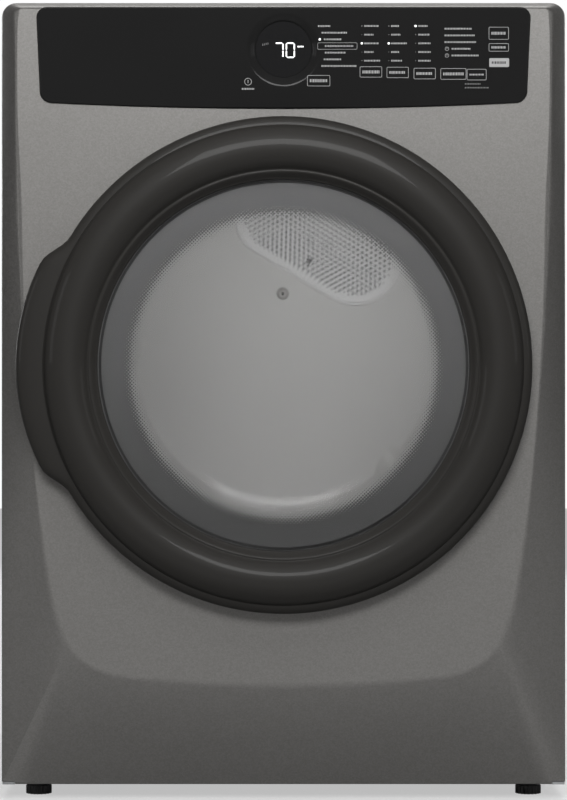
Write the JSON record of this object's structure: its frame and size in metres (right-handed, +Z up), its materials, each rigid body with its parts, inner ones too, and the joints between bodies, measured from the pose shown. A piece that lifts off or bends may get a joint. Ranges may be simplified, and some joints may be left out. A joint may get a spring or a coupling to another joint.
{
  "type": "clothes dryer",
  "caption": "Front-loading clothes dryer with a round glass door, touch control console, rotating drum, belt drive, blower, rear exhaust and levelling feet.",
  "frame": {"origin": "middle of the footprint on the floor, under the middle of the bounding box", "axes": "+Z up, the front and its door face -Y, +X to the right seen from the front"},
  "size_m": [0.686, 0.813, 0.968],
  "materials": {
    "cabinet_paint": "satin dark silver paint with fine metallic flake",
    "galvanised_steel": "zinc-coated sheet",
    "drum_steel": "brushed stainless",
    "bulkhead_paint": "smooth light grey enamel",
    "gloss_black": "high gloss black",
    "ring_gloss": "gloss dark grey-brown",
    "dark_plastic": "moulded, fine grain",
    "grey_plastic": "moulded, satin",
    "white_plastic": "moulded",
    "display_glass": "smoked, polished",
    "door_glass": "clear, printed border",
    "bowl_glass": "clear pressed glass",
    "lamp_cover": "frosted",
    "seal_rubber": "soft moulded",
    "felt": "pressed wool felt",
    "belt_rubber": "ribbed",
    "board": "solder-masked circuit board",
    "hinge_metal": "plated",
    "screw_metal": "zinc plated",
    "motor_metal": "painted case",
    "duct_metal": "galvanised tube",
    "heater_metal": "aluminised sheet",
    "element_wire": "oxidised",
    "hose_rubber": "smooth hose",
    "foot_plastic": "moulded"
  },
  "bodies": {
    "cabinet": {"front_panel": "cabinet_paint", "side_panel_left": "cabinet_paint", "side_panel_right": "cabinet_paint", "top_panel": "cabinet_paint", "rear_panel": "galvanised_steel", "base_pan": "galvanised_steel", "cabinet_screws": "screw_metal", "console_fascia": "gloss_black", "display_lens": "display_glass", "console_carrier": "dark_plastic", "interface_board": "board", "main_control_board": "board", "cabinet_hinge_leaf": "hinge_metal", "door_gasket": "seal_rubber", "door_catch": "white_plastic", "door_switch_body": "white_plastic", "front_bulkhead": "bulkhead_paint", "rear_bulkhead": "bulkhead_paint", "drum_felt_seals": "felt", "drum_glides": "white_plastic", "air_grille": "bulkhead_paint", "steam_nozzle": "grey_plastic", "steam_hose": "hose_rubber", "water_inlet_valve": "white_plastic", "drum_lamp": "lamp_cover", "moisture_bars": "hinge_metal", "lint_duct": "grey_plastic", "roller_shafts": "hinge_metal", "drive_belt": "belt_rubber", "motor_body": "motor_metal", "motor_bracket": "galvanised_steel", "blower_housing": "grey_plastic", "exhaust_duct": "duct_metal", "idler_spring": "hinge_metal", "heater_box": "heater_metal", "heating_element": "element_wire", "thermostats": "dark_plastic", "terminal_block": "dark_plastic", "terminal_cover": "galvanised_steel"},
    "door": {"door_ring": "ring_gloss", "outer_glass": "door_glass", "inner_glass_bowl": "bowl_glass", "door_back_cover": "dark_plastic", "door_screws": "screw_metal", "door_strike": "hinge_metal", "door_hinge_leaf": "hinge_metal"},
    "drum": {"drum_shell": "drum_steel", "drum_vanes": "grey_plastic"},
    "motor_rotor": {"motor_shaft": "hinge_metal", "blower_wheel": "white_plastic"},
    "idler_arm": {"idler_arm": "galvanised_steel"},
    "idler_pulley": {"idler_pulley": "dark_plastic"},
    "drum_roller_left": {"drum_roller_left": "dark_plastic"},
    "drum_roller_right": {"drum_roller_right": "dark_plastic"},
    "lint_filter": {"lint_filter": "grey_plastic"},
    "switch_plunger": {"switch_plunger": "white_plastic"},
    "levelling_foot_1": {"levelling_foot_1": "foot_plastic"},
    "levelling_foot_2": {"levelling_foot_2": "foot_plastic"},
    "levelling_foot_3": {"levelling_foot_3": "foot_plastic"},
    "levelling_foot_4": {"levelling_foot_4": "foot_plastic"}
  },
  "joints": [
    {"name": "door_hinge", "type": "hinge", "parent": "cabinet", "child": "door", "pos_m": [0.288, -0.375, 0.528], "axis": [0, 0, 1], "range_deg": [0, 105]},
    {"name": "drum_spin", "type": "hinge", "parent": "cabinet", "child": "drum", "pos_m": [0, 0, 0.59], "axis": [0, 1, 0], "continuous": true},
    {"name": "motor_spin", "type": "hinge", "parent": "cabinet", "child": "motor_rotor", "pos_m": [0.15, 0, 0.14], "axis": [0, 1, 0], "continuous": true},
    {"name": "roller_left_spin", "type": "hinge", "parent": "cabinet", "child": "drum_roller_left", "pos_m": [-0.20827, 0.27, 0.29257], "axis": [0, 1, 0], "continuous": true},
    {"name": "roller_right_spin", "type": "hinge", "parent": "cabinet", "child": "drum_roller_right", "pos_m": [0.20827, 0.27, 0.29257], "axis": [0, 1, 0], "continuous": true},
    {"name": "idler_arm_swing", "type": "hinge", "parent": "cabinet", "child": "idler_arm", "pos_m": [0.225, 0.052, 0.08], "axis": [0, 1, 0], "range_deg": [0, 12], "stiffness_Nm_per_rad": 4, "springref_deg": -14.32},
    {"name": "idler_pulley_spin", "type": "hinge", "parent": "idler_arm", "child": "idler_pulley", "pos_m": [0.204, 0.04, 0.215], "axis": [0, 1, 0], "continuous": true},
    {"name": "lint_filter_slide", "type": "slide", "parent": "cabinet", "child": "lint_filter", "axis": [0, 0, 1], "range_m": [0, 0.16]},
    {"name": "door_switch_press", "type": "slide", "parent": "cabinet", "child": "switch_plunger", "axis": [0, 1, 0], "range_m": [0, 0.003], "stiffness_N_per_m": 300, "springref_m": -0.004},
    {"name": "foot_1_level", "type": "slide", "parent": "cabinet", "child": "levelling_foot_1", "axis": [0, 0, 1], "range_m": [-0.02, 0]},
    {"name": "foot_2_level", "type": "slide", "parent": "cabinet", "child": "levelling_foot_2", "axis": [0, 0, 1], "range_m": [-0.02, 0]},
    {"name": "foot_3_level", "type": "slide", "parent": "cabinet", "child": "levelling_foot_3", "axis": [0, 0, 1], "range_m": [-0.02, 0]},
    {"name": "foot_4_level", "type": "slide", "parent": "cabinet", "child": "levelling_foot_4", "axis": [0, 0, 1], "range_m": [-0.02, 0]}
  ],
  "couplings": [
    {"joint": "motor_spin", "follows": "drum_spin", "ratio": 22.545},
    {"joint": "idler_pulley_spin", "follows": "drum_spin", "ratio": -12.152},
    {"joint": "roller_left_spin", "follows": "drum_spin", "ratio": -8.6207},
    {"joint": "roller_right_spin", "follows": "drum_spin", "ratio": -8.6207}
  ]
}
